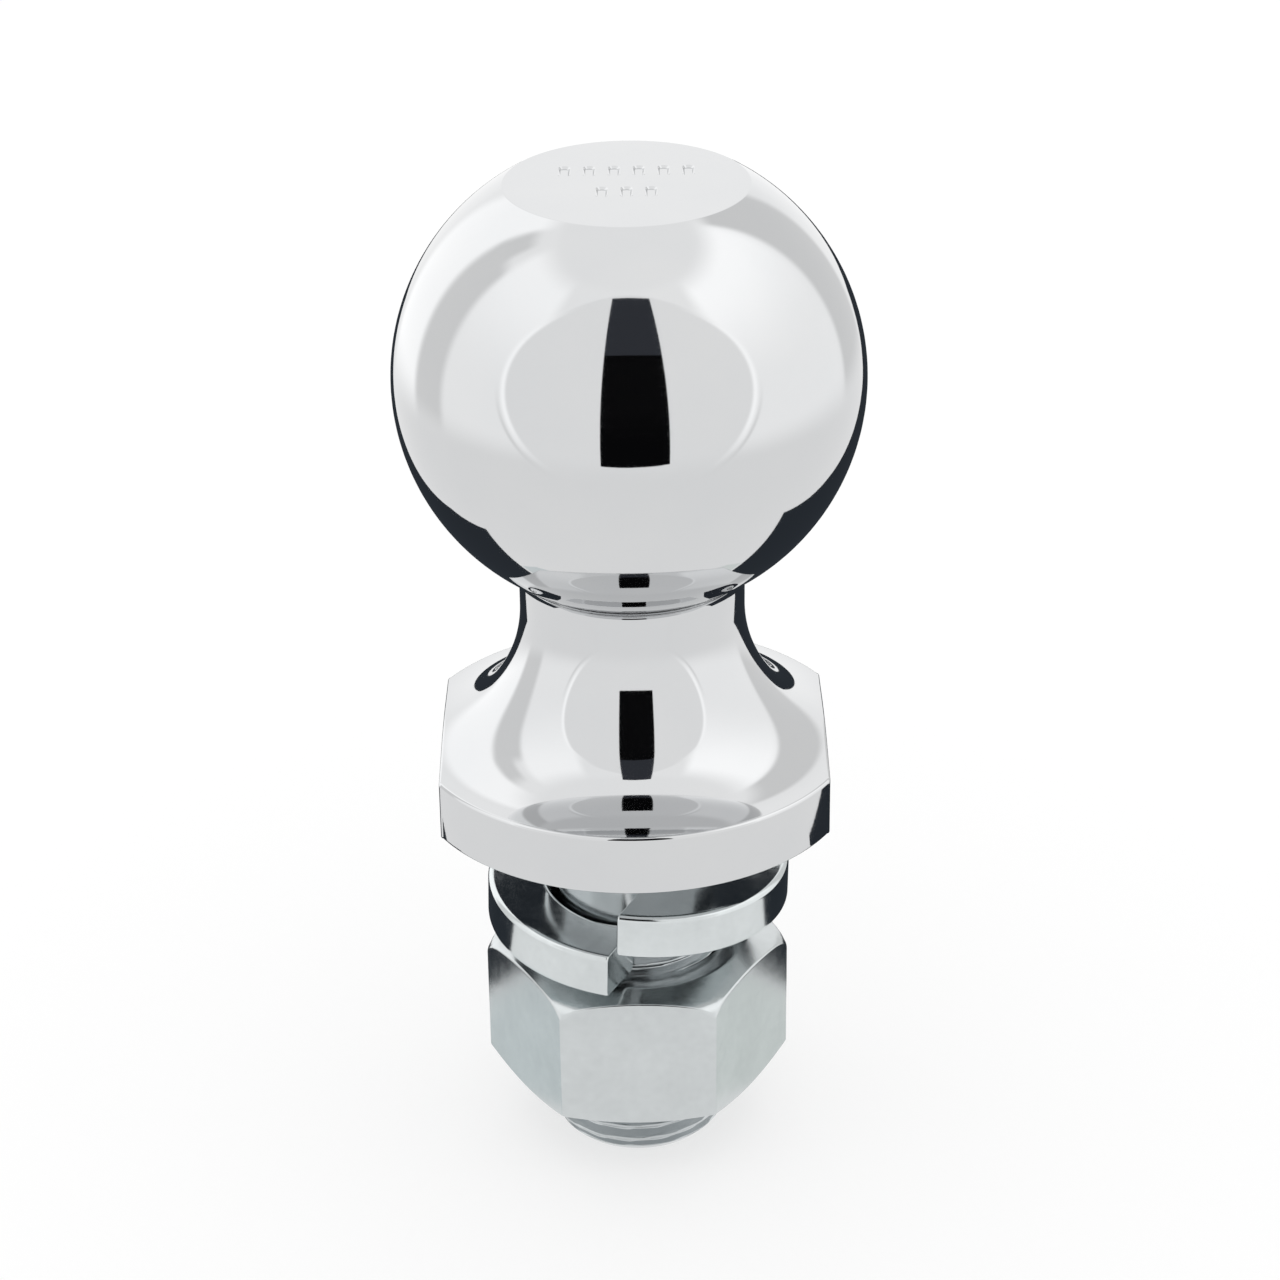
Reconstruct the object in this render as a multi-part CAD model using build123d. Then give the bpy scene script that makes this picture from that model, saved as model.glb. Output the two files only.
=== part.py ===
from build123d import *
import math
import os

# Trailer hitch ball: one forged ball stud, a split lock washer and a hex nut.
# Millimetres, +Z up along the stud's axis. Origin: centre of the flange's underside,
# where the flange seats on the drawbar. The flange's wrench flats face +X and -X.

# ---- ball, neck and flange (one forging) ----
ball_d = 47.625          # 1-7/8 in ball
ball_z = 46.5            # height of the ball's centre above the seat
top_flat_r = 12.15       # flat on the crown of the ball
top_edge_r = 0.30        # edge break round that flat
neck_r = 11.6
neck_fillet = 2.0        # where the ball runs into the neck
sweep_r = 16.8           # concave sweep from the neck out towards the flange: a wide arc first
sweep_cz = 21.4          # height of that arc's centre
sweep_turn = 36.0        # degrees it turns through before
foot_r = 12.7            # a tighter arc carries on to the flange's rim
flange_r = 23.1
flange_edge = 0.35       # edge break at the flange's upper rim
seat_edge = 0.40         # edge break at the flange's lower rim
flats_w = 40.1           # across the two wrench flats

# ---- shank and its thread: 3/4-16, right hand ----
shank_r = 9.525          # 3/4 in grip
grip_len = 6.4
body_r = 9.25            # plain shank between the grip and the thread
thread_top = -12.6       # first full crest
shank_len = 41.4
pitch = 1.5875
crest_r = 9.45
root_r = 8.50
root_half = 0.14         # half width of the groove's floor
flank = math.tan(math.radians(30))
end_chamfer_r = 8.35
end_chamfer = 1.25

# ---- hex nut ----
nut_af = 28.3
nut_top = -18.3
nut_h = 16.3
nut_top_r = 12.0         # flat circle left by the corner chamfer at the washer's end
nut_low_r = 12.8         # and at the far end
nut_low_slope = 23.0     # degrees of the far end's chamfer
nut_top_slope = 20.0     # degrees of the near end's, as far as
nut_crown_r = 14.9       # this radius, where it curves over on
nut_crown_arc = 2.2      # an arc of this radius
nut_minor_r = 8.72
nut_major_r = 9.60
nut_sink_r = 9.75        # countersinks at both mouths
thread_play = 0.12       # axial gap on each flank

# ---- split lock washer ----
washer_id = 19.9
washer_od = 32.2
washer_t_out = 5.05      # thickness at the outer edge
washer_t_in = 5.35       # and at the inner edge (keystone section)
washer_edge = 0.7
washer_rise = 5.2        # sprung rise over one turn, left-hand helix
washer_low_mid = -14.7   # mid-height of the section at the low end
washer_split_az = -100.0 # where the split is, degrees from +X
washer_gap = 0.9
washer_skew = 15.0       # the shear cut leans this far from radial
washer_shift = 0.2       # it hangs loose on the shank
washer_tilt = 1.5

BIG = 200.0


def pt(r, z):
    return Vector(r, 0, z)


def groove(z_start, height, r_in, r_out, half_in, half_out):
    """A right-hand helical cutter of trapezoid section; its centre line passes z_start on the +X side."""
    rc = (r_in + r_out) / 2
    helix = Helix(pitch=pitch, height=height, radius=rc, center=(0, 0, z_start))
    at = Plane(origin=(rc, 0, z_start), x_dir=(1, 0, 0), z_dir=(0, -1, 0))
    shape = Polyline(
        (r_in - rc, -half_in), (r_out - rc, -half_out), (r_out - rc, half_out), (r_in - rc, half_in), close=True
    )
    return sweep(at * make_face(shape), path=helix, is_frenet=True)


# ------------------------------------------------------------------ ball stud
R = ball_d / 2
# ball to neck: a fillet circle outside the ball and tangent to the neck cylinder
fr = neck_fillet
f_c = (neck_r + fr, ball_z - math.sqrt((R + fr) ** 2 - (neck_r + fr) ** 2))
to_ball = (f_c[0] * R / (R + fr), ball_z + (f_c[1] - ball_z) * R / (R + fr))
f_mid_a = (math.pi + math.atan2(ball_z - f_c[1], -f_c[0])) / 2
f_mid = (f_c[0] + fr * math.cos(f_mid_a), f_c[1] + fr * math.sin(f_mid_a))
# edge break round the crown's flat: tangent to the flat and the ball, from inside
e = top_edge_r
flat_z = ball_z + math.sqrt(R * R - top_flat_r ** 2)
e_cz = flat_z - e
e_cr = math.sqrt((R - e) ** 2 - (e_cz - ball_z) ** 2)
e_ball = (e_cr * R / (R - e), ball_z + (e_cz - ball_z) * R / (R - e))
e_a = (math.pi / 2 + math.atan2(e_cz - ball_z, e_cr)) / 2
e_mid = (e_cr + e * math.cos(e_a), e_cz + e * math.sin(e_a))
# concave sweep, from the neck to the flange's rim
s_c = (neck_r + sweep_r, sweep_cz)


def on_circle(centre, radius, degrees):
    a = math.radians(degrees)
    return (centre[0] + radius * math.cos(a), centre[1] + radius * math.sin(a))


s_mid = on_circle(s_c, sweep_r, 180 + sweep_turn / 2)
s_join = on_circle(s_c, sweep_r, 180 + sweep_turn)
foot_c = on_circle(s_join, foot_r, sweep_turn)
s_end_r = flange_r - flange_edge
foot_end = 180 + math.degrees(math.acos((foot_c[0] - s_end_r) / foot_r))
s_end = on_circle(foot_c, foot_r, foot_end)
foot_mid = on_circle(foot_c, foot_r, (180 + sweep_turn + foot_end) / 2)

ball_mid_a = (math.atan2(e_ball[1] - ball_z, e_ball[0]) + math.atan2(to_ball[1] - ball_z, to_ball[0])) / 2
ball_mid = (R * math.cos(ball_mid_a), ball_z + R * math.sin(ball_mid_a))

edges = [
    Line(pt(0, -shank_len), pt(0, flat_z)),
    Line(pt(0, flat_z), pt(e_cr, flat_z)),
    ThreePointArc(pt(e_cr, flat_z), pt(*e_mid), pt(*e_ball)),
    ThreePointArc(pt(*e_ball), pt(*ball_mid), pt(*to_ball)),
    ThreePointArc(pt(*to_ball), pt(*f_mid), pt(neck_r, f_c[1])),
    Line(pt(neck_r, f_c[1]), pt(neck_r, sweep_cz)),
    ThreePointArc(pt(neck_r, sweep_cz), pt(*s_mid), pt(*s_join)),
    ThreePointArc(pt(*s_join), pt(*foot_mid), pt(*s_end)),
    Line(pt(*s_end), pt(flange_r, s_end[1] - flange_edge)),
    Line(pt(flange_r, s_end[1] - flange_edge), pt(flange_r, seat_edge)),
    Line(pt(flange_r, seat_edge), pt(flange_r - seat_edge, 0)),
    Line(pt(flange_r - seat_edge, 0), pt(shank_r, 0)),
    Line(pt(shank_r, 0), pt(shank_r, -grip_len)),
    Line(pt(shank_r, -grip_len), pt(body_r, -grip_len - (shank_r - body_r))),
    Line(pt(body_r, -grip_len - (shank_r - body_r)), pt(body_r, thread_top + (crest_r - body_r))),
    Line(pt(body_r, thread_top + (crest_r - body_r)), pt(crest_r, thread_top)),
    Line(pt(crest_r, thread_top), pt(crest_r, -shank_len + end_chamfer)),
    Line(pt(crest_r, -shank_len + end_chamfer), pt(end_chamfer_r, -shank_len)),
    Line(pt(end_chamfer_r, -shank_len), pt(0, -shank_len)),
]
ball_stud = revolve(Face(Wire(edges)), Axis.Z)
# the two wrench flats
half_w = flats_w / 2
for side in (1, -1):
    ball_stud -= Pos(side * (half_w + BIG / 2), 0, 6) * Box(BIG, BIG, 30)

# thread: one groove from below the plain body out past the end
groove_low = -shank_len - 2 * pitch
stud_half_out = root_half + (10.2 - root_r) * flank
ball_stud -= groove(
    groove_low, (thread_top - 0.4) - groove_low, root_r, 10.2, root_half, stud_half_out
)
ball_stud = ball_stud.solid()

# ------------------------------------------------------------------ hex nut
nut_bot = nut_top - nut_h
corner_r = nut_af / 2 / math.cos(math.radians(30))
cut_r = corner_r + 1.0
drop_low = (cut_r - nut_low_r) * math.tan(math.radians(nut_low_slope))
slope_a = math.radians(nut_top_slope)
crown_z = nut_top - (nut_crown_r - nut_top_r) * math.tan(slope_a)
arc_c = (nut_crown_r - nut_crown_arc * math.sin(slope_a), crown_z - nut_crown_arc * math.cos(slope_a))
crown_end = math.radians(2)
crown_mid = (math.pi / 2 - slope_a + crown_end) / 2
arc_mid = (arc_c[0] + nut_crown_arc * math.cos(crown_mid), arc_c[1] + nut_crown_arc * math.sin(crown_mid))
arc_end = (arc_c[0] + nut_crown_arc * math.cos(crown_end), arc_c[1] + nut_crown_arc * math.sin(crown_end))
envelope = revolve(
    Face(
        Wire(
            [
                Line(pt(0, nut_bot), pt(nut_low_r, nut_bot)),
                Line(pt(nut_low_r, nut_bot), pt(cut_r, nut_bot + drop_low)),
                Line(pt(cut_r, nut_bot + drop_low), pt(cut_r, arc_end[1])),
                Line(pt(cut_r, arc_end[1]), pt(*arc_end)),
                ThreePointArc(pt(*arc_end), pt(*arc_mid), pt(nut_crown_r, crown_z)),
                Line(pt(nut_crown_r, crown_z), pt(nut_top_r, nut_top)),
                Line(pt(nut_top_r, nut_top), pt(0, nut_top)),
                Line(pt(0, nut_top), pt(0, nut_bot)),
            ]
        )
    ),
    Axis.Z,
)
# corners on +X and -X, a flat facing -Y
prism = Pos(0, 0, nut_bot) * extrude(RegularPolygon(radius=corner_r, side_count=6), amount=nut_h)
sink = nut_sink_r - nut_minor_r
bore = revolve(
    Face(
        Wire(
            [
                Line(pt(0, nut_bot - 1), pt(nut_sink_r + 1, nut_bot - 1)),
                Line(pt(nut_sink_r + 1, nut_bot - 1), pt(nut_minor_r, nut_bot + sink)),
                Line(pt(nut_minor_r, nut_bot + sink), pt(nut_minor_r, nut_top - sink)),
                Line(pt(nut_minor_r, nut_top - sink), pt(nut_sink_r + 1, nut_top + 1)),
                Line(pt(nut_sink_r + 1, nut_top + 1), pt(0, nut_top + 1)),
                Line(pt(0, nut_top + 1), pt(0, nut_bot - 1)),
            ]
        )
    ),
    Axis.Z,
)
hex_nut = (prism & envelope) - bore


def tooth_half(r):
    """Half width of the nut's thread ridge, which sits in the stud's groove with play on both flanks."""
    return root_half + (r - root_r) * flank - thread_play


# the nut's groove lies half a pitch from the stud's, in step with it along the whole shank
turns_up = math.floor((nut_bot - 2.0 - groove_low) / pitch)
nut_groove_low = groove_low + (turns_up + 0.5) * pitch
r_a, r_b = 8.50, nut_major_r
hex_nut -= groove(
    nut_groove_low,
    nut_top + 2.0 - nut_groove_low,
    r_a,
    r_b,
    pitch / 2 - tooth_half(r_a),
    pitch / 2 - tooth_half(r_b),
)
hex_nut = hex_nut.solid()

# ------------------------------------------------------------------ split lock washer
w_in, w_out = washer_id / 2, washer_od / 2
w_mid = (w_in + w_out) / 2


def coil(start_az, sweep_deg):
    """Part of the washer's coil, from start_az clockwise (seen from above), rising as it goes."""
    z0 = washer_low_mid + washer_rise * (washer_split_az - start_az) / 360
    rise = washer_rise * sweep_deg / 360
    helix = Helix(pitch=washer_rise, height=rise, radius=w_mid, center=(0, 0, z0), lefthand=True)
    at = Plane(origin=(w_mid, 0, z0), x_dir=(1, 0, 0), z_dir=(0, 1, 0))
    a, b = w_in - w_mid, w_out - w_mid
    section = Polyline(
        (a, -washer_t_in / 2), (b, -washer_t_out / 2), (b, washer_t_out / 2), (a, washer_t_in / 2), close=True
    )
    face = make_face(section)
    face = fillet(face.vertices(), radius=washer_edge)
    return Rot(0, 0, start_az) * sweep(at * face, path=helix, is_frenet=True)


over = 22.0
low_half = coil(washer_split_az + over, 180 + over)     # up to the back of the washer
high_half = coil(washer_split_az - 180, 180 + over)      # on round to the high end
# shear planes of the two ends, leaning from the radial direction
az = math.radians(washer_split_az)
cx, cy = w_out * math.cos(az), w_out * math.sin(az)
inward = math.degrees(math.atan2(-cy, -cx)) - washer_skew
half_gap = washer_gap / 2
keep_low = Pos(cx, cy, 0) * Rot(0, 0, inward) * Pos(0, -BIG / 2 + half_gap, 0) * Box(BIG, BIG, BIG)
keep_high = Pos(cx, cy, 0) * Rot(0, 0, inward) * Pos(0, BIG / 2 - half_gap, 0) * Box(BIG, BIG, BIG)
low_half -= keep_low & (Pos(0, -BIG / 2, 0) * Box(BIG, BIG, BIG))
high_half -= keep_high & (Pos(0, -BIG / 2, 0) * Box(BIG, BIG, BIG))
lock_washer = (low_half + high_half).solid()
mid_z = washer_low_mid + washer_rise / 2
lock_washer = (
    Pos(washer_shift, 0, mid_z) * Rot(0, washer_tilt, 0) * Pos(0, 0, -mid_z) * lock_washer
)

# ------------------------------------------------------------------ files
os.makedirs("parts", exist_ok=True)
for name, solid in (("ball_stud", ball_stud), ("lock_washer", lock_washer), ("hex_nut", hex_nut)):
    solid.label = name
    export_step(solid, f"parts/{name}.step")
    box = solid.bounding_box()
    print(name, "valid", solid.is_valid, "solids", len(solid.solids()), "volume", round(solid.volume, 1),
          [round(v, 2) for v in (box.min.X, box.min.Y, box.min.Z, box.max.X, box.max.Y, box.max.Z)])
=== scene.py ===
import math

import bpy
import numpy as np
from mathutils import Matrix, Vector
from mathutils.geometry import delaunay_2d_cdt


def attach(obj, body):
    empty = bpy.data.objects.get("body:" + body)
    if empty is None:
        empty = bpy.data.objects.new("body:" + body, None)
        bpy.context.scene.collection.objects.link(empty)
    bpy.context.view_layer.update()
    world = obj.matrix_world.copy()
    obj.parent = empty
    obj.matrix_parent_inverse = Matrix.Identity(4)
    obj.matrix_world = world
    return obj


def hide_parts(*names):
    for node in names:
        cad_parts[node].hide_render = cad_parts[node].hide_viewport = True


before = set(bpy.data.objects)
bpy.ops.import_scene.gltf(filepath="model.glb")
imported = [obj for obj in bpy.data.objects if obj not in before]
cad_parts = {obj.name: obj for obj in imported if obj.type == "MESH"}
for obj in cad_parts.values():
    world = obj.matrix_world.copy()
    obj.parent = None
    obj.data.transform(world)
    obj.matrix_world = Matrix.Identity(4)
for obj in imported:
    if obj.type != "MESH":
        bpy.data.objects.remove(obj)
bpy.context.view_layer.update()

# Everything below is worked out in millimetres and turned into metres when a mesh is made.
MM = 0.001

# ---- sizes, the same as the CAD model's ----
BALL_R, BALL_Z = 23.8125, 46.5
TOP_FLAT_R, TOP_EDGE = 12.15, 0.32
NECK_R, NECK_FILLET = 11.6, 2.0
SWEEP_R, SWEEP_CZ, SWEEP_TURN, FOOT_R = 16.8, 21.4, 36.0, 12.7
FLANGE_R, FLANGE_EDGE, SEAT_EDGE = 23.1, 0.38, 0.40
HALF_FLATS = 20.05
SHANK_R, GRIP, BODY_R = 9.525, 6.4, 9.25
THREAD_TOP, SHANK_END = -12.6, -41.4
PITCH, CREST_R, ROOT_R, ROOT_HALF = 1.5875, 9.45, 8.50, 0.14
FLANK = math.tan(math.radians(30))
END_R, END_CHAMFER = 8.35, 1.25
NUT_AF, NUT_TOP, NUT_H = 28.3, -18.3, 16.3
NUT_MINOR, NUT_MAJOR, NUT_SINK, PLAY = 8.72, 9.60, 9.75, 0.12
GROOVE_LOW = SHANK_END - 2 * PITCH


# ------------------------------------------------------------------ mesh building
def unit(a):
    a = np.asarray(a, float)
    return a / np.maximum(np.linalg.norm(a, axis=-1, keepdims=True), 1e-12)


class Shell:
    """Faces gathered from patches, each corner with its own exact surface normal, welded into one closed mesh."""

    def __init__(self):
        self.p, self.n, self.f, self.m, self.count = [], [], [], [], 0

    def points(self, p, n):
        p, n = np.asarray(p, float).reshape(-1, 3), unit(np.asarray(n, float).reshape(-1, 3))
        self.p.append(p)
        self.n.append(n)
        base = self.count
        self.count += len(p)
        return base

    def face(self, corners, mat=0):
        self.f.append(list(corners))
        self.m.append(mat)

    def grid(self, p, n, wrap=True, mat=0):
        """p and n are rows x columns x 3; columns close up on themselves if wrap."""
        rows, cols = p.shape[:2]
        base = self.points(p, n)
        for i in range(rows - 1):
            for j in range(cols if wrap else cols - 1):
                k = (j + 1) % cols
                self.face(
                    [base + i * cols + j, base + i * cols + k, base + (i + 1) * cols + k, base + (i + 1) * cols + j],
                    mat,
                )

    def build(self, name, materials):
        p, n = np.vstack(self.p), np.vstack(self.n)
        key = np.round(p / 2e-4).astype(np.int64)
        _, first, inverse = np.unique(key, axis=0, return_index=True, return_inverse=True)
        inverse = inverse.reshape(-1)
        verts = p[first]
        faces, normals, mats = [], [], []
        for f, m in zip(self.f, self.m):
            corners, seen = [], []
            for c in f:
                w = int(inverse[c])
                if w not in seen:
                    seen.append(w)
                    corners.append(c)
            if len(seen) < 3:
                continue
            q = verts[seen]
            a = np.zeros(3)
            for i in range(1, len(seen) - 1):
                a += np.cross(q[i] - q[0], q[i + 1] - q[0])
            if np.linalg.norm(a) < 1e-9:
                continue
            if a @ n[corners].mean(0) < 0:
                seen, corners = seen[::-1], corners[::-1]
            faces.append(seen)
            normals += [tuple(n[c]) for c in corners]
            mats.append(m)
        me = bpy.data.meshes.new(name)
        me.from_pydata([tuple(v * MM) for v in verts], [], faces)
        for m in materials:
            me.materials.append(m)
        me.polygons.foreach_set("material_index", mats)
        me.polygons.foreach_set("use_smooth", [True] * len(faces))
        me.update()
        me.normals_split_custom_set(normals)
        me.update()
        ob = bpy.data.objects.new(name, me)
        bpy.context.scene.collection.objects.link(ob)
        return ob


def arc(cr, cz, rad, a0, a1, steps, inward=False):
    """Profile samples (r, z, nr, nz) along a circle in the RZ plane; the normal points away from its centre unless inward."""
    a = np.radians(np.linspace(a0, a1, steps + 1))
    s = -1.0 if inward else 1.0
    return np.stack([cr + rad * np.cos(a), cz + rad * np.sin(a), s * np.cos(a), s * np.sin(a)], 1)


def straight(r0, z0, r1, z1, steps=1, flip=False):
    t = np.linspace(0, 1, steps + 1)
    d = unit([r1 - r0, z1 - z0])
    n = np.array([-d[1], d[0]]) * (-1 if flip else 1)
    return np.stack([r0 + (r1 - r0) * t, z0 + (z1 - z0) * t, np.full_like(t, n[0]), np.full_like(t, n[1])], 1)


def turned(profile, phi):
    c, s = np.cos(phi), np.sin(phi)
    r, z, nr, nz = (profile[:, i][:, None] for i in range(4))
    o = np.ones_like(c)[None]
    return np.stack([r * c, r * s, z * o], -1), np.stack([nr * c, nr * s, nz * o], -1)


def soft_min(a, b, k):
    h = np.clip(0.5 + 0.5 * (b - a) / k, 0, 1)
    return b + (a - b) * h - k * h * (1 - h)


def soft_max(a, b, k):
    return -soft_min(-a, -b, k)


def smooth(t):
    t = np.clip(t, 0, 1)
    return t * t * (3 - 2 * t)


def field(radius, phi, z, inward=False):
    """Points and normals of the surface r = radius(phi, z) on the grid z x phi."""
    zz, pp = np.meshgrid(z, phi, indexing="ij")
    r = radius(pp, zz)
    e = 1e-4
    rp = (radius(pp + e, zz) - radius(pp - e, zz)) / (2 * e)
    rz = (radius(pp, zz + e) - radius(pp, zz - e)) / (2 * e)
    c, s = np.cos(pp), np.sin(pp)
    t1 = np.stack([rp * c - r * s, rp * s + r * c, np.zeros_like(r)], -1)
    t2 = np.stack([rz * c, rz * s, np.ones_like(r)], -1)
    n = unit(np.cross(t1, t2)) * (-1 if inward else 1)
    return np.stack([r * c, r * s, zz], -1), n


# ------------------------------------------------------------------ materials
def new_material(name):
    m = bpy.data.materials.new(name)
    m.use_nodes = True
    nt = m.node_tree
    nt.nodes.clear()
    out = nt.nodes.new("ShaderNodeOutputMaterial")
    b = nt.nodes.new("ShaderNodeBsdfPrincipled")
    nt.links.new(b.outputs["BSDF"], out.inputs["Surface"])
    return m, nt, b


def node(nt, kind, **settings):
    n = nt.nodes.new(kind)
    for k, v in settings.items():
        if k in n.inputs:
            n.inputs[k].default_value = v
        else:
            setattr(n, k, v)
    return n


def link(nt, a, b):
    nt.links.new(a, b)


def mapped(nt, value, lo, hi, to_lo, to_hi):
    n = node(nt, "ShaderNodeMapRange")
    n.inputs["From Min"].default_value, n.inputs["From Max"].default_value = lo, hi
    n.inputs["To Min"].default_value, n.inputs["To Max"].default_value = to_lo, to_hi
    link(nt, value, n.inputs["Value"])
    return n.outputs["Result"]


def coords(nt, scale):
    tc = node(nt, "ShaderNodeTexCoord")
    mp = node(nt, "ShaderNodeMapping")
    mp.inputs["Scale"].default_value = scale
    link(nt, tc.outputs["Object"], mp.inputs["Vector"])
    return mp.outputs["Vector"]


def noise(nt, vec, scale, detail=4.0, rough=0.55):
    n = node(nt, "ShaderNodeTexNoise")
    n.inputs["Scale"].default_value, n.inputs["Detail"].default_value = scale, detail
    n.inputs["Roughness"].default_value = rough
    link(nt, vec, n.inputs["Vector"])
    return n.outputs["Fac"]


def ramp2(nt, fac, lo, hi, c0, c1):
    r = node(nt, "ShaderNodeValToRGB")
    r.color_ramp.elements[0].position, r.color_ramp.elements[0].color = lo, (*c0, 1)
    r.color_ramp.elements[1].position, r.color_ramp.elements[1].color = hi, (*c1, 1)
    link(nt, fac, r.inputs["Fac"])
    return r.outputs["Color"]


def add(nt, a, b, op="ADD"):
    m = node(nt, "ShaderNodeMath", operation=op)
    for i, x in enumerate((a, b)):
        if isinstance(x, (int, float)):
            m.inputs[i].default_value = x
        else:
            link(nt, x, m.inputs[i])
    return m.outputs[0]


def chrome_material():
    """Polished chrome plate: a faint haze that varies, hairline polishing marks round the axis and very slight waviness."""
    m, nt, b = new_material("polished_chrome")
    b.inputs["Metallic"].default_value = 1.0
    plain = coords(nt, (1, 1, 1))
    haze = noise(nt, plain, 55.0, 5.0, 0.6)
    link(nt, ramp2(nt, haze, 0.35, 0.7, (0.625, 0.633, 0.642), (0.648, 0.653, 0.658)), b.inputs["Base Color"])
    lines = noise(nt, coords(nt, (0.35, 0.35, 14.0)), 420.0, 3.0, 0.6)
    rough = add(nt, mapped(nt, haze, 0.3, 0.75, 0.022, 0.045), mapped(nt, lines, 0.45, 0.8, 0.0, 0.03))
    link(nt, rough, b.inputs["Roughness"])
    wave = noise(nt, plain, 120.0, 2.0, 0.5)
    height = add(nt, mapped(nt, wave, 0.0, 1.0, 0.0, 1.0), mapped(nt, lines, 0.4, 0.9, 0.0, 0.10))
    bump = node(nt, "ShaderNodeBump")
    bump.inputs["Strength"].default_value = 0.05
    bump.inputs["Distance"].default_value = 0.00002
    link(nt, height, bump.inputs["Height"])
    link(nt, bump.outputs["Normal"], b.inputs["Normal"])
    return m


def shank_material():
    """Plating on the shank and thread: the same metal, but duller, with turning marks."""
    m, nt, b = new_material("plated_shank")
    b.inputs["Metallic"].default_value = 1.0
    plain = coords(nt, (1, 1, 1))
    haze = noise(nt, plain, 90.0, 5.0, 0.6)
    link(nt, ramp2(nt, haze, 0.3, 0.75, (0.46, 0.485, 0.495), (0.57, 0.59, 0.60)), b.inputs["Base Color"])
    lines = noise(nt, coords(nt, (0.3, 0.3, 10.0)), 500.0, 4.0, 0.6)
    link(nt, add(nt, mapped(nt, haze, 0.3, 0.75, 0.10, 0.20), mapped(nt, lines, 0.4, 0.8, 0.0, 0.08)), b.inputs["Roughness"])
    bump = node(nt, "ShaderNodeBump")
    bump.inputs["Strength"].default_value = 0.25
    bump.inputs["Distance"].default_value = 0.00003
    link(nt, add(nt, lines, haze), bump.inputs["Height"])
    link(nt, bump.outputs["Normal"], b.inputs["Normal"])
    return m


def zinc_material(name, tint, rough_lo, rough_hi, grain):
    """Bright zinc on steel: cool, satin, mottled, with a fine grain and a few softer dents from the dies."""
    m, nt, b = new_material(name)
    b.inputs["Metallic"].default_value = 1.0
    plain = coords(nt, (1, 1, 1))
    cloud = noise(nt, plain, 130.0, 6.0, 0.62)
    fine = noise(nt, plain, 900.0, 4.0, 0.6)
    mix = add(nt, mapped(nt, cloud, 0.25, 0.75, 0.0, 0.7), mapped(nt, fine, 0.2, 0.8, 0.0, 0.3))
    dark = tuple(c * 0.86 for c in tint)
    link(nt, ramp2(nt, mix, 0.15, 0.8, dark, tint), b.inputs["Base Color"])
    link(nt, add(nt, mapped(nt, cloud, 0.3, 0.7, rough_lo, rough_hi), mapped(nt, fine, 0.3, 0.7, -0.02, 0.03)), b.inputs["Roughness"])
    dents = noise(nt, plain, 60.0, 3.0, 0.5)
    bump = node(nt, "ShaderNodeBump")
    bump.inputs["Strength"].default_value = grain
    bump.inputs["Distance"].default_value = 0.00006
    height = add(nt, mapped(nt, dents, 0.2, 0.8, 0.0, 1.0), mapped(nt, fine, 0.0, 1.0, 0.0, 0.35))
    link(nt, height, bump.inputs["Height"])
    link(nt, bump.outputs["Normal"], b.inputs["Normal"])
    return m


CHROME, SHANK = chrome_material(), shank_material()
NUT_ZINC = zinc_material("bright_zinc_nut", (0.622, 0.650, 0.657), 0.15, 0.25, 0.30)
WASHER_ZINC = zinc_material("bright_zinc_washer", (0.672, 0.706, 0.712), 0.09, 0.18, 0.22)

# ------------------------------------------------------------------ ball stud
COLS = 160
PHI = np.linspace(0, 2 * np.pi, COLS, endpoint=False)


def crown_face(shell, z, rim_r):
    """The flat on top of the ball, with two rows of blank stamped bars sunk into it."""
    depth, wall = 0.20, 0.25
    pts, edges, level = [], [], []

    def loop(points, lv):
        start = len(pts)
        for q in points:
            pts.append(Vector(q))
            level.append(lv)
        k = len(points)
        edges.extend((start + i, start + (i + 1) % k) for i in range(k))

    loop([(rim_r * math.cos(a), rim_r * math.sin(a)) for a in PHI], 0.0)

    def bar(cx, cy, w, h):
        def rounded(w, h, r):
            out = []
            for sx, sy, a0 in ((1, 1, 0), (-1, 1, 90), (-1, -1, 180), (1, -1, 270)):
                for a in np.radians(np.linspace(a0, a0 + 90, 5)):
                    out.append((cx + sx * (w / 2 - r) + r * math.cos(a), cy + sy * (h / 2 - r) + r * math.sin(a)))
            return out

        loop(rounded(w, h, min(w, h) * 0.48), 0.0)
        loop(rounded(w - 2 * wall, h - 2 * wall, (min(w, h) - 2 * wall) * 0.45), 1.0)

    for k in range(6):
        bar(-6.1 + 2.44 * k, 3.3, 1.25, 3.0)
    for k in range(3):
        bar(-2.4 + 2.4 * k, -2.6, 1.25, 3.0)
    got, _, faces, origin, _, _ = delaunay_2d_cdt(pts, edges, [], 1, 1e-6)
    lv = []
    for src in origin:
        lv.append(max(level[i] for i in src) if src else 0.0)
    p = np.array([(q[0], q[1], z - depth * w) for q, w in zip(got, lv)])
    for f in faces:
        q = p[list(f)]
        n = np.cross(q[1] - q[0], q[2] - q[0])
        if n[2] < 0:
            n = -n
        base = shell.points(q, np.repeat(n[None], len(q), 0))
        shell.face(range(base, base + len(q)), 0)


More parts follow.
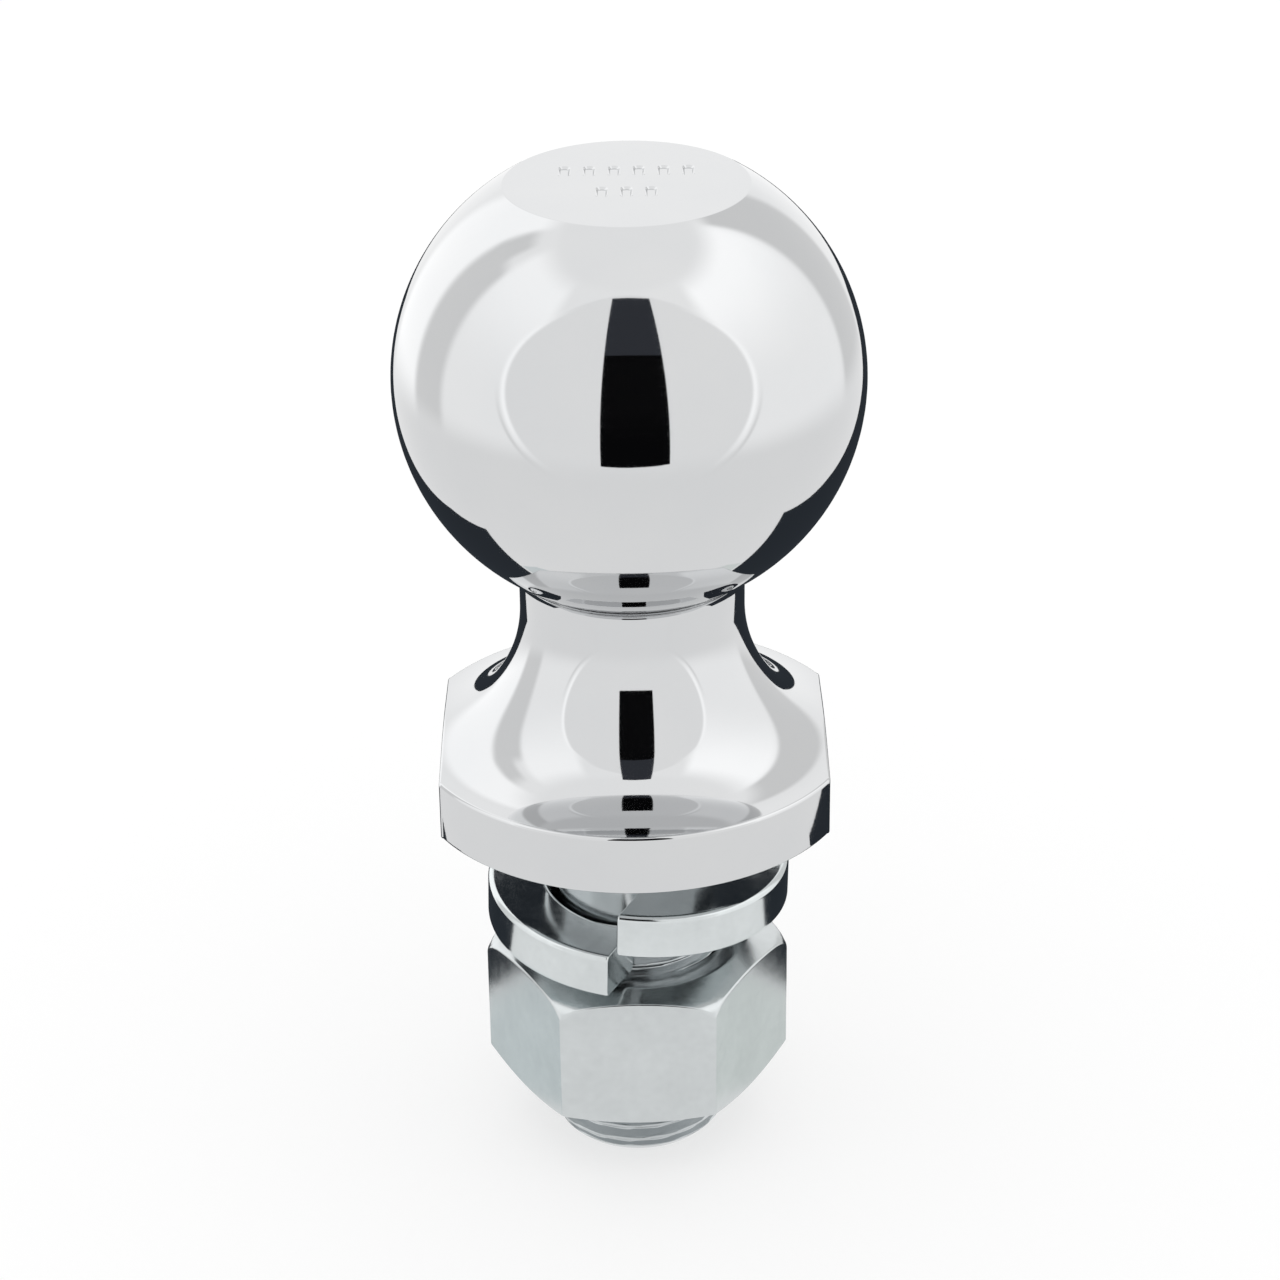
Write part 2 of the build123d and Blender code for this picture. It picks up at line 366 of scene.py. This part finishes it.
def clip(shell, p, n, x_cut, side, rim, mat=0):
    """Adds one polygon clipped to side*x <= x_cut and keeps the edge that the cut leaves."""
    inside = [side * q[0] <= x_cut + 1e-9 for q in p]
    if all(inside):
        base = shell.points(p, n)
        shell.face(range(base, base + len(p)), mat)
        return
    if not any(inside):
        return
    op, on, cut = [], [], []
    k = len(p)
    for i in range(k):
        j = (i + 1) % k
        if inside[i]:
            op.append(p[i])
            on.append(n[i])
        if inside[i] != inside[j]:
            a, b = (i, j) if tuple(p[i]) < tuple(p[j]) else (j, i)
            t = (side * x_cut - p[a][0]) / (p[b][0] - p[a][0])
            q = p[a] + (p[b] - p[a]) * t
            q[0] = side * x_cut
            op.append(q)
            on.append(unit(n[a] + (n[b] - n[a]) * t))
            cut.append((q, on[-1]))
    base = shell.points(op, on)
    shell.face(range(base, base + len(op)), mat)
    if len(cut) == 2:
        rim.append(cut)


def build_ball_stud():
    sh = Shell()
    # crown
    flat_z = BALL_Z + math.sqrt(BALL_R**2 - TOP_FLAT_R**2)
    e = TOP_EDGE
    e_cz = flat_z - e
    e_cr = math.sqrt((BALL_R - e) ** 2 - (e_cz - BALL_Z) ** 2)
    e_a = math.degrees(math.atan2(e_cz - BALL_Z, e_cr))
    crown_face(sh, flat_z, e_cr)
    sh.grid(*turned(arc(e_cr, e_cz, e, 90, e_a, 6), PHI))
    # ball, down to the neck's fillet
    fr = NECK_FILLET
    fc_r = NECK_R + fr
    fc_z = BALL_Z - math.sqrt((BALL_R + fr) ** 2 - fc_r**2)
    low_a = math.degrees(math.atan2(fc_z - BALL_Z, fc_r))
    sh.grid(*turned(arc(0, BALL_Z, BALL_R, e_a, low_a, 130), PHI))
    sh.grid(*turned(arc(fc_r, fc_z, fr, low_a + 180, 180, 12, inward=True), PHI))
    sh.grid(*turned(straight(NECK_R, SWEEP_CZ, NECK_R, fc_z, 2, flip=True)[::-1], PHI))
    # sweep out to the flange, its rim and its underside, clipped by the wrench flats
    e = FLANGE_EDGE
    sc_r = NECK_R + SWEEP_R
    upper = arc(sc_r, SWEEP_CZ, SWEEP_R, 180, 180 + SWEEP_TURN, 30, inward=True)
    turn = math.radians(SWEEP_TURN)
    foot_cr = upper[-1, 0] + FOOT_R * math.cos(turn)
    foot_cz = upper[-1, 1] + FOOT_R * math.sin(turn)
    foot_end = 180 + math.degrees(math.acos((foot_cr - (FLANGE_R - e)) / FOOT_R))
    sweep = np.vstack([upper[:-1], arc(foot_cr, foot_cz, FOOT_R, 180 + SWEEP_TURN, foot_end, 40, inward=True)])
    x_cut = HALF_FLATS - 0.28
    split = int(np.searchsorted(sweep[:, 0], x_cut - 0.3))
    sh.grid(*turned(sweep[: split + 1], PHI))
    zones = [
        sweep[split:],
        arc(FLANGE_R - e, sweep[-1, 1] - e, e, 90, 0, 6),
        straight(FLANGE_R, SEAT_EDGE, FLANGE_R, sweep[-1, 1] - e, 3, flip=True)[::-1],
        arc(FLANGE_R - SEAT_EDGE, SEAT_EDGE, SEAT_EDGE, 0, -90, 6),
        straight(FLANGE_R - SEAT_EDGE, 0, 19.0, 0, 2, flip=True) * np.array([1, 1, 0, 1]) ,
    ]
    zones[4][:, 3] = -1.0
    rims = {1: [], -1: []}
    for profile in zones:
        p, n = turned(profile, PHI)
        for i in range(len(profile) - 1):
            for j in range(COLS):
                k = (j + 1) % COLS
                q = np.array([p[i, j], p[i, k], p[i + 1, k], p[i + 1, j]])
                m = unit(np.array([n[i, j], n[i, k], n[i + 1, k], n[i + 1, j]]))
                side = 1 if q[:, 0].mean() > 0 else -1
                clip(sh, q, m, x_cut, side, rims[side])
    # the flats, each with a narrow rounded edge all round
    top_z = sweep[-1, 1]
    for side, pieces in rims.items():
        b = HALF_FLATS - x_cut
        y_c = math.sqrt(FLANGE_R**2 - HALF_FLATS**2)

        def on_flat(q, b=b, y_c=y_c, side=side):
            y = min(max(q[1], -(y_c - b)), y_c - b)
            r = math.hypot(HALF_FLATS, y)
            roof = foot_cz - math.sqrt(FOOT_R**2 - (foot_cr - min(r, FLANGE_R)) ** 2)
            z = min(max(q[2], b), roof - b)
            return np.array([side * HALF_FLATS, y, z])

        nx = np.array([side, 0.0, 0.0])
        outline = {}
        for (qa, na), (qb, nb) in pieces:
            ra, rb = on_flat(qa), on_flat(qb)
            rows_p, rows_n = [], []
            for t in (0.0, 0.33, 0.67, 1.0):
                row_p, row_n = [], []
                for q, m, r in ((qa, na, ra), (qb, nb, rb)):
                    corner = np.array([side * HALF_FLATS, q[1], q[2]])
                    row_p.append((1 - t) ** 2 * q + 2 * t * (1 - t) * corner + t * t * r)
                    row_n.append(unit(m * (1 - t) + nx * t))
                rows_p.append(row_p)
                rows_n.append(row_n)
            sh.grid(np.array(rows_p), np.array(rows_n), wrap=False)
            for r in (ra, rb):
                outline[tuple(np.round(r / 2e-4).astype(int))] = r
        ring = np.array(list(outline.values()))
        mid = ring.mean(0)
        ring = ring[np.argsort(np.arctan2(ring[:, 2] - mid[2], ring[:, 1] - mid[1]))]
        base = sh.points(ring, np.repeat(nx[None], len(ring), 0))
        sh.face(range(base, base + len(ring)))
    # underside, shank and thread
    root = 0.35
    p, n = turned(straight(19.0, 0, SHANK_R + root, 0, 2), PHI)
    n[..., :2], n[..., 2] = 0, -1
    sh.grid(p, n)
    sh.grid(*turned(arc(SHANK_R + root, -root, root, 90, 180, 4, inward=True), PHI), mat=1)
    step = SHANK_R - BODY_R
    sh.grid(*turned(straight(SHANK_R, -GRIP, SHANK_R, -root, 3, flip=True)[::-1], PHI), mat=1)
    sh.grid(*turned(straight(BODY_R, -GRIP - step, SHANK_R, -GRIP, 1, flip=True)[::-1], PHI), mat=1)
    top = THREAD_TOP + 0.35
    sh.grid(*turned(straight(BODY_R, top, BODY_R, -GRIP - step, 4, flip=True)[::-1], PHI), mat=1)
    rows = int(round((top - SHANK_END - 0.0) / 0.105))
    z = np.linspace(top, SHANK_END, rows + 1)
    sh.grid(*field(stud_thread, PHI, z), mat=1)
    p, _ = turned(np.array([[END_R, SHANK_END, 0, -1], [END_R - 2, SHANK_END, 0, -1], [3.0, SHANK_END, 0, -1], [0, SHANK_END, 0, -1]]), PHI)
    p[0] = field(stud_thread, PHI, np.array([SHANK_END]))[0][0]
    n = np.zeros_like(p)
    n[..., 2] = -1
    sh.grid(p, n, mat=1)
    return sh.build("ball_stud_chromed", [CHROME, SHANK])


def groove_shape(u, root_r, root_half, crest_r, k=0.05):
    """Radius of a V thread at axial distance u from its groove's middle."""
    flank_r = root_r + (np.abs(u) - root_half) / FLANK
    return soft_min(soft_max(flank_r, root_r, k), crest_r, k)


def thread_phase(phi, z):
    w = (z - GROOVE_LOW) / PITCH - phi / (2 * np.pi)
    return (w - np.round(w)) * PITCH


def stud_thread(phi, z):
    v = groove_shape(thread_phase(phi, z), ROOT_R, ROOT_HALF, CREST_R)
    blank = BODY_R + (CREST_R - BODY_R) * smooth((THREAD_TOP + 0.2 - z) / 0.25)
    r = blank + (v - blank) * smooth((THREAD_TOP - 0.15 - z) / 1.0)
    chamfer = CREST_R - (SHANK_END + END_CHAMFER - z) * (CREST_R - END_R) / END_CHAMFER
    return soft_min(r, chamfer, 0.08)


ball = build_ball_stud()


# ------------------------------------------------------------------ hex nut
NUT_FLAT_TOP, NUT_FLAT_LOW = 12.0, 12.8
LOW_SLOPE, TOP_SLOPE = math.radians(23), math.radians(20)
CROWN_R, CROWN_ARC = 14.9, 2.2      # the near end's chamfer curves over from this radius
NUT_EDGE = 0.45     # rounding of the six upright corners


def crown_slope(r):
    s = (r - (CROWN_R - CROWN_ARC * math.sin(TOP_SLOPE))) / CROWN_ARC
    return np.where(r < CROWN_R, TOP_SLOPE, np.arcsin(np.clip(s, 0, 0.9995)))


def crown_drop(r):
    start = (CROWN_R - NUT_FLAT_TOP) * math.tan(TOP_SLOPE)
    return np.where(
        r < CROWN_R, (r - NUT_FLAT_TOP) * math.tan(TOP_SLOPE),
        start + CROWN_ARC * (math.cos(TOP_SLOPE) - np.cos(crown_slope(r))),
    )


def low_drop(r):
    return (r - NUT_FLAT_LOW) * math.tan(LOW_SLOPE)


def low_slope(r):
    return LOW_SLOPE + 0.0 * r


def nut_outline():
    """Hexagon with slightly rounded corners: points and normals round the nut, corners on +X and -X."""
    half = NUT_AF / 2
    r = NUT_EDGE
    pts = []
    for k in range(6):
        face_a = math.radians(30 + 60 * k)
        n = np.array([math.cos(face_a), math.sin(face_a)])
        t = np.array([-n[1], n[0]])
        reach = half * math.tan(math.radians(30)) - r * math.tan(math.radians(30))
        for s in np.linspace(-1, 1, 17):
            pts.append((*(n * half + t * reach * s), *n))
        centre = (n * (half - r)) + t * reach
        for a in np.linspace(0, 60, 7)[1:-1]:
            m = np.array([math.cos(face_a + math.radians(a)), math.sin(face_a + math.radians(a))])
            pts.append((*(centre + m * r), *m))
    return np.array(pts)


def build_nut():
    sh = Shell()
    o = nut_outline()
    xy, nn = o[:, :2], o[:, 2:]
    rho = np.linalg.norm(xy, axis=1)
    rad = xy / rho[:, None]
    cols = len(o)
    z_hi, z_lo = NUT_TOP, NUT_TOP - NUT_H
    hi = z_hi - crown_drop(rho)
    lo = z_lo + low_drop(rho)

    def ring(r, z, n):
        """One row of points: r a radius along each column's own direction, or the outline itself if None."""
        p = xy if r is None else rad * np.reshape(r, (-1, 1))
        z = np.broadcast_to(z, cols)
        return np.column_stack([p, z]), n

    def rows(sets):
        sh.grid(np.array([s[0] for s in sets]), unit(np.array([s[1] for s in sets])))

    up = np.column_stack([np.zeros((cols, 2)), np.ones(cols)])
    side = np.column_stack([nn, np.zeros(cols)])
    e = 0.20            # width of the rounded edges

    def cone(r, slope, sign):
        a = slope(np.broadcast_to(r, cols) * 1.0)[:, None]
        return np.hstack([rad * np.sin(a), sign * np.cos(a)])

    for sign, flat_r, z_end, drop, slope in (
        (1, NUT_FLAT_TOP, z_hi, crown_drop, crown_slope),
        (-1, NUT_FLAT_LOW, z_lo, low_drop, low_slope),
    ):
        u = up * [1, 1, sign]
        cu = cone(flat_r, slope, sign)
        # end face
        rows([ring(np.full(cols, r), z_end, u) for r in np.linspace(NUT_SINK, flat_r - e, 4)])
        # round on to the chamfer, the chamfer, and round on to the side
        a = [ring(np.full(cols, flat_r - e), z_end, u)]
        a.append(ring(np.full(cols, flat_r), z_end - sign * drop(flat_r + e) * 0.25, unit(u + cu)))
        a.append(ring(np.full(cols, flat_r + e), z_end - sign * drop(flat_r + e), cu))
        rows(a)
        inner = rho - e
        across = [flat_r + e + (inner - flat_r - e) * t for t in np.linspace(0, 1, 15)]
        rows([ring(r, z_end - sign * drop(r), cone(r, slope, sign)) for r in across])
        cu = cone(inner, slope, sign)
        b = [ring(inner, z_end - sign * drop(inner), cu)]
        b.append(ring(rho - e * 0.25, z_end - sign * (drop(rho - e * 0.25) + e * 0.3), unit(cu + side)))
        b.append(ring(None, z_end - sign * (drop(rho) + e), side))
        rows(b)
    body = []
    for t in np.linspace(0, 1, 7):
        body.append(ring(None, (hi - e) + ((lo + e) - (hi - e)) * t, side))
    rows(body)
    # bore: countersinks and the internal thread in step with the shank's
    phi = np.arctan2(rad[:, 1], rad[:, 0])

    def bore(pp, zz):
        tooth_root = ROOT_HALF - PLAY - 0.0
        u = thread_phase(pp, zz)
        v = NUT_MINOR
        flank_r = ROOT_R + (np.abs(u) + PLAY - ROOT_HALF) / FLANK
        r = soft_min(soft_max(flank_r, NUT_MINOR + 0 * u, 0.05), NUT_MAJOR + 0 * u, 0.05)
        sink = NUT_SINK - np.minimum(z_hi - zz, zz - z_lo)
        return soft_max(r, sink, 0.06)

    z = np.linspace(z_hi, z_lo, 150)
    p, n = field(bore, phi, z, inward=True)
    p[0, :, :2] = rad * NUT_SINK
    p[-1, :, :2] = rad * NUT_SINK
    sh.grid(p, n)
    return sh.build("hex_nut_zinc", [NUT_ZINC])


nut = build_nut()

# ------------------------------------------------------------------ split lock washer
W_IN, W_OUT = 9.95, 16.1
W_T_OUT, W_T_IN, W_EDGE = 5.05, 5.35, 0.7
W_RISE, W_LOW_MID, W_SPLIT, W_GAP, W_SKEW = 5.2, -14.7, -100.0, 0.9, 15.0
W_SHIFT, W_TILT = 0.2, 1.5


def washer_section():
    """Closed keystone section with rounded corners: (r - W_IN, z) and normals."""
    w = W_OUT - W_IN
    corners = [(0, -W_T_IN / 2), (w, -W_T_OUT / 2), (w, W_T_OUT / 2), (0, W_T_IN / 2)]
    out = []
    k = len(corners)
    for i in range(k):
        a, b, c = (np.array(corners[(i + d) % k], float) for d in (-1, 0, 1))
        u, v = unit(a - b), unit(c - b)
        half = math.acos(np.clip(u @ v, -1, 1)) / 2
        centre = b + unit(u + v) * W_EDGE / math.sin(half)
        n0 = np.array([-u[1], u[0]])
        n0 = n0 if n0 @ (b - centre) > 0 else -n0
        n1 = np.array([-v[1], v[0]])
        n1 = n1 if n1 @ (b - centre) > 0 else -n1
        a0, a1 = math.atan2(n0[1], n0[0]), math.atan2(n1[1], n1[0])
        d = (a1 - a0 + math.pi) % (2 * math.pi) - math.pi
        for t in np.linspace(0, 1, 8):
            m = np.array([math.cos(a0 + d * t), math.sin(a0 + d * t)])
            out.append((*(centre + m * W_EDGE), *m))
        nxt = np.array(corners[(i + 1) % k], float)
        length = np.linalg.norm(nxt - b)
        here = np.array(out[-1][:2])
        there = b + (nxt - b) * (1 - (W_EDGE / math.tan(half)) / length)
        for t in np.linspace(0, 1, 6)[1:-1]:
            out.append((*(here + (there - here) * t), *n1))
    return np.array(out)


def build_washer():
    sh = Shell()
    sec = washer_section()
    az0 = math.radians(W_SPLIT)
    outer = np.array([math.cos(az0), math.sin(az0)]) * W_OUT
    inward = unit(-outer)
    a = -math.radians(W_SKEW)
    d = np.array([inward[0] * math.cos(a) - inward[1] * math.sin(a), inward[0] * math.sin(a) + inward[1] * math.cos(a)])
    nrm = np.array([-d[1], d[0]])       # across the cut

    def end_azimuth(r, offset):
        """Where the circle of radius r meets the shear plane moved by offset."""
        q = outer + nrm * offset
        b = q @ d
        t = -b - math.sqrt(b * b - (q @ q - r * r))
        p = q + d * t
        return math.atan2(p[1], p[0])

    steps = 180
    r = W_IN + sec[:, 0]
    low = np.array([end_azimuth(x, W_GAP / 2) for x in r])
    high = np.array([end_azimuth(x, -W_GAP / 2) for x in r]) - 2 * math.pi
    ends = 0.22        # rounding of the sheared edges

    def station(t, inset=0.0, along=0.0):
        az = low + (high - low) * t + along / r
        rr, zz = r, sec[:, 1]
        if inset:
            rr, zz = r - sec[:, 2] * inset, zz - sec[:, 3] * inset
        z = W_LOW_MID + W_RISE * (az0 - az) / (2 * math.pi) + zz
        return np.column_stack([rr * np.cos(az), rr * np.sin(az), z]), az

    rows_p, rows_n = [], []
    for t in np.linspace(0, 1, steps + 1):
        along = -ends if t == 0 else (ends if t == 1 else 0.0)
        p, az = station(t, 0.0, along)
        slope = -W_RISE / (2 * math.pi)
        n_r, n_z = sec[:, 2], sec[:, 3]
        # normal of the coil: across both the section's edge and the helix
        tangent = np.column_stack([-np.sin(az) * r, np.cos(az) * r, np.full(len(r), slope)])
        n = np.column_stack([n_r * np.cos(az), n_r * np.sin(az), n_z])
        tt = unit(tangent)
        n = n - tt * np.sum(n * tt, 1, keepdims=True)
        rows_p.append(p)
        rows_n.append(unit(n))
    rows_p, rows_n = np.array(rows_p), np.array(rows_n)
    sh.grid(rows_p, rows_n)
    for t, sgn, i in ((0, 1.0, 0), (1, -1.0, -1)):
        # the end face looks along the cut's normal
        face_n = np.array([*(nrm * (-1.0 if t == 0 else 1.0)), 0.0])
        mid_p, _ = station(t, ends * 0.3, -ends * 0.3 if t == 0 else ends * 0.3)
        in_p, _ = station(t, ends, 0.0)
        n_mid = unit(rows_n[i] + face_n)
        flat = np.repeat(face_n[None], len(in_p), 0)
        sh.grid(np.array([rows_p[i], mid_p, in_p]), np.array([rows_n[i], n_mid, flat]))
        base = sh.points(in_p, flat)
        sh.face(range(base, base + len(in_p)))
    # it hangs loose on the shank: moved over and tilted a little
    mid = np.array([0, 0, W_LOW_MID + W_RISE / 2])
    a = math.radians(W_TILT)
    rot = np.array([[math.cos(a), 0, math.sin(a)], [0, 1, 0], [-math.sin(a), 0, math.cos(a)]])
    sh.p = [(q - mid) @ rot.T + mid + np.array([W_SHIFT, 0, 0]) for q in sh.p]
    sh.n = [q @ rot.T for q in sh.n]
    return sh.build("lock_washer_zinc", [WASHER_ZINC])


washer = build_washer()

for piece, body, cad_node, slot in (
    (ball, "ball_stud", "ball_stud", "chrome"),
    (washer, "washer", "lock_washer", "washer_zinc"),
    (nut, "nut", "hex_nut", "nut_zinc"),
):
    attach(piece, body)
    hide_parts(cad_node)

# ------------------------------------------------------------------ floor
floor_mesh = bpy.data.meshes.new("floor")
sides = 96
floor_mesh.from_pydata(
    [(4 * math.cos(2 * math.pi * k / sides), 4 * math.sin(2 * math.pi * k / sides), 0) for k in range(sides)],
    [],
    [list(range(sides))],
)
floor = bpy.data.objects.new("floor", floor_mesh)
floor.location = (0, 0, SHANK_END * MM)
bpy.context.scene.collection.objects.link(floor)
fm, fnt, fb = new_material("pale_floor")
fb.inputs["Base Color"].default_value = (0.42, 0.42, 0.42, 1)
fb.inputs["Emission Color"].default_value = (1, 1, 1, 1)
fb.inputs["Emission Strength"].default_value = 0.57
fb.inputs["Roughness"].default_value = 0.9
fb.inputs["Specular IOR Level"].default_value = 0.0
floor_mesh.materials.append(fm)
floor.visible_glossy = False

# ------------------------------------------------------------------ studio
# A white light tent round the part: pale front, brighter side panels, two grey seams behind them, a tall dark
# slit in front and a dark gap where the tent's walls stop at the table. The polished metal shows it.
world = bpy.data.worlds.new("light_tent")
bpy.context.scene.world = world
world.use_nodes = True
wt = world.node_tree
wt.nodes.clear()


def w_math(op, a, b=None, c=None, clamp=False):
    n = wt.nodes.new("ShaderNodeMath")
    n.operation, n.use_clamp = op, clamp
    for i, x in enumerate((a, b, c)):
        if x is None:
            continue
        if isinstance(x, (int, float)):
            n.inputs[i].default_value = x
        else:
            wt.links.new(x, n.inputs[i])
    return n.outputs[0]


def w_step(x, lo, hi):
    """0 below lo, 1 above hi, smooth between."""
    n = wt.nodes.new("ShaderNodeMapRange")
    n.interpolation_type = "SMOOTHSTEP"
    n.inputs["From Min"].default_value, n.inputs["From Max"].default_value = lo, hi
    wt.links.new(x, n.inputs["Value"])
    return n.outputs["Result"]


def w_window(x, lo, hi, soft):
    return w_math("MULTIPLY", w_step(x, lo - soft, lo + soft), w_math("SUBTRACT", 1.0, w_step(x, hi - soft, hi + soft)))


def w_all(*xs):
    out = xs[0]
    for x in xs[1:]:
        out = w_math("MULTIPLY", out, x)
    return out


def w_mix(under, over, mask):
    """under + (over - under) * mask; over and under are grey levels."""
    return w_math("ADD", under, w_math("MULTIPLY", w_math("SUBTRACT", over, under), mask))


def srgb(v):
    v /= 255.0
    return v / 12.92 if v <= 0.04045 else ((v + 0.055) / 1.055) ** 2.4


def level(v):
    """The tent's light for which polished chrome reads as the display tone v."""
    return srgb(v) / 0.645


tc = wt.nodes.new("ShaderNodeTexCoord")
sep = wt.nodes.new("ShaderNodeSeparateXYZ")
wt.links.new(tc.outputs["Generated"], sep.inputs[0])
X, Y, Z = sep.outputs
az = w_math("DEGREES", w_math("ARCTAN2", X, w_math("MULTIPLY", Y, -1.0)))     # 0 towards -Y, + towards +X
flat_len = w_math("SQRT", w_math("ADD", w_math("MULTIPLY", X, X), w_math("MULTIPLY", Y, Y)))
el = w_math("DEGREES", w_math("ARCTAN2", Z, flat_len))
absaz = w_math("ABSOLUTE", az)

tone = w_mix(level(210), level(224), w_step(el, -25, 0))
band = w_window(el, -17, 58, 6)
# side panels
left_tone = w_mix(level(226), level(240), w_step(el, 0, 50))
right_tone = w_mix(level(228), level(247), w_step(el, 5, 52))
tone = w_mix(tone, left_tone, w_all(w_window(az, -99, -50, 5), band))
tone = w_mix(tone, right_tone, w_all(w_window(az, 50, 123, 6), band))
tone = w_mix(tone, level(243), w_all(w_window(az, -152, -121, 4), band))
# round screen in front, with a bright rim on its two sides and a thin shade under it
across = w_math("DIVIDE", az, 65.0)
along = w_math("DIVIDE", w_math("SUBTRACT", el, 13.5), 48.5)
disc = w_math("SQRT", w_math("ADD", w_math("MULTIPLY", across, across), w_math("MULTIPLY", along, along)))
above = w_step(el, -30, -12)
tone = w_mix(tone, level(215), w_all(w_math("SUBTRACT", 1.0, w_step(disc, 0.975, 1.0)), above))
tone = w_mix(tone, level(243), w_all(w_window(disc, 0.955, 0.995, 0.018), w_step(absaz, 25, 55), w_window(el, -15, 45, 12)))
tone = w_mix(tone, level(203), w_all(w_window(disc, 1.015, 1.04, 0.015), w_math("SUBTRACT", 1.0, w_step(el, -15, 10)), above))
# seams
tone = w_mix(tone, level(199), w_all(w_window(az, -120.5, -99, 3.0), w_window(el, -18, 41, 4)))
tone = w_mix(tone, level(199), w_all(w_window(az, -120.5, -107, 3.0), w_window(el, 37, 53, 4)))
tone = w_mix(tone, level(196), w_all(w_window(az, 123.5, 150, 2.5), w_window(el, -16, 56, 4)))
# back wall
tone = w_mix(tone, level(226), w_all(w_step(absaz, 152, 160), w_window(el, 2, 60, 6)))
# roof
tone = w_mix(tone, level(221), w_step(el, 60, 66))

mirror_rgb = wt.nodes.new("ShaderNodeCombineColor")
for i in range(3):
    wt.links.new(tone, mirror_rgb.inputs[i])
bg_gloss = wt.nodes.new("ShaderNodeBackground")
wt.links.new(mirror_rgb.outputs[0], bg_gloss.inputs["Color"])
bg_plain = wt.nodes.new("ShaderNodeBackground")
bg_plain.inputs["Color"].default_value = (1, 1, 1, 1)
bg_plain.inputs["Strength"].default_value = 1.06
path = wt.nodes.new("ShaderNodeLightPath")
mix = wt.nodes.new("ShaderNodeMixShader")
wt.links.new(path.outputs["Is Glossy Ray"], mix.inputs[0])
wt.links.new(bg_plain.outputs[0], mix.inputs[1])
wt.links.new(bg_gloss.outputs[0], mix.inputs[2])
w_out = wt.nodes.new("ShaderNodeOutputWorld")
wt.links.new(mix.outputs[0], w_out.inputs["Surface"])
world.cycles.sampling_method = "MANUAL"
world.cycles.sample_map_resolution = 1024

# Things near the part that only the polished metal shows: the tall slit in front, and the dark gap on the
# table's level, at both sides and behind, where the tent's walls stop.
def card(name, corners, colour):
    me = bpy.data.meshes.new(name)
    me.from_pydata([tuple(c * MM for c in q) for q in corners], [], [list(range(len(corners)))])
    m = bpy.data.materials.new(name)
    m.use_nodes = True
    nt = m.node_tree
    nt.nodes.clear()
    e = nt.nodes.new("ShaderNodeEmission")
    e.inputs["Color"].default_value = (*[level(v) for v in colour], 1)
    o = nt.nodes.new("ShaderNodeOutputMaterial")
    nt.links.new(e.outputs[0], o.inputs["Surface"])
    me.materials.append(m)
    ob = bpy.data.objects.new(name, me)
    ob.visible_camera = ob.visible_diffuse = ob.visible_shadow = ob.visible_transmission = False
    bpy.context.scene.collection.objects.link(ob)
    return ob


SLIT_Y, SLIT_L, SLIT_R = -105.0, -22.4, 31.0
SLIT_LOW, SLIT_MID, SLIT_TOP = 17.0, 112.0, 214.0


def slit(z0, z1):
    return [(SLIT_L, SLIT_Y, z0), (SLIT_R, SLIT_Y, z0), (SLIT_R, SLIT_Y, z1), (SLIT_L, SLIT_Y, z1)]


card("slit_low", slit(SLIT_LOW, SLIT_MID), (7, 7, 8))
card("slit_high", slit(SLIT_MID, SLIT_TOP), (43, 45, 50))
TABLE = -41.0
GAP = [(33.5, 13.0), (61.3, 8.0), (88.1, 2.1), (106.0, 62.0), (120.0, 126.0), (136.0, 194.0), (162.0, 264.0),
       (190.0, 335.0), (210.0, 405.0), (182.0, 430.0), (45.0, 430.0), (0.0, 380.0), (-50.0, 370.0), (-91.5, 365.0),
       (-148.0, 340.0), (-133.0, 276.0), (-118.0, 215.0), (-104.0, 157.0), (-95.0, 102.0), (-89.0, 42.0), (-76.0, 3.8),
       (-54.4, 8.5), (-33.5, 13.0), (-24.0, 24.0), (24.0, 24.0)]
card("gap", [(*q, TABLE) for q in GAP], (36, 40, 45))
# the soft shade on the table beside the part's foot, which the nut's side faces show
SHADE_L = [(-19.0, -15.0), (-31.0, -10.0), (-41.0, -2.0), (-45.0, 8.5), (-33.5, 11.5), (-27.0, 9.0), (-20.0, 2.0)]
SHADE_R = [(20.0, -15.0), (32.0, -9.0), (41.0, -1.0), (45.0, 9.0), (33.5, 11.5), (27.0, 9.0), (21.0, 2.0)]
card("shade_left", [(*q, TABLE) for q in SHADE_L], (184, 190, 191))
card("shade_right", [(*q, TABLE) for q in SHADE_R], (193, 197, 195))

scene = bpy.context.scene
scene.view_settings.view_transform = "Standard"
scene.view_settings.look = "None"

# ------------------------------------------------------------------ camera
pitch, roll = 0.479, -0.01305
fw = Vector((0, math.cos(pitch), -math.sin(pitch)))
up0 = Vector((0, math.sin(pitch), math.cos(pitch)))
rt0 = Vector((1, 0, 0))
rt = rt0 * math.cos(roll) + up0 * math.sin(roll)
up = up0 * math.cos(roll) - rt0 * math.sin(roll)
cam_data = bpy.data.cameras.new("camera")
cam_data.sensor_width = 36.0
cam_data.lens = 36.0 * 3558.05 / 1280.0
cam_data.clip_start, cam_data.clip_end = 0.01, 50.0
cam = bpy.data.objects.new("camera", cam_data)
m = Matrix.Identity(4)
for i, v in enumerate((rt, up, -fw)):
    for j in range(3):
        m[j][i] = v[j]
m.translation = Vector((0.744, -327.806, 187.027)) * MM
cam.matrix_world = m
scene.collection.objects.link(cam)
scene.camera = cam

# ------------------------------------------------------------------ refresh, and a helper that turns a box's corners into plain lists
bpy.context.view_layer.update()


def plain(box):
    return [[float(v) for v in corner] for corner in box]
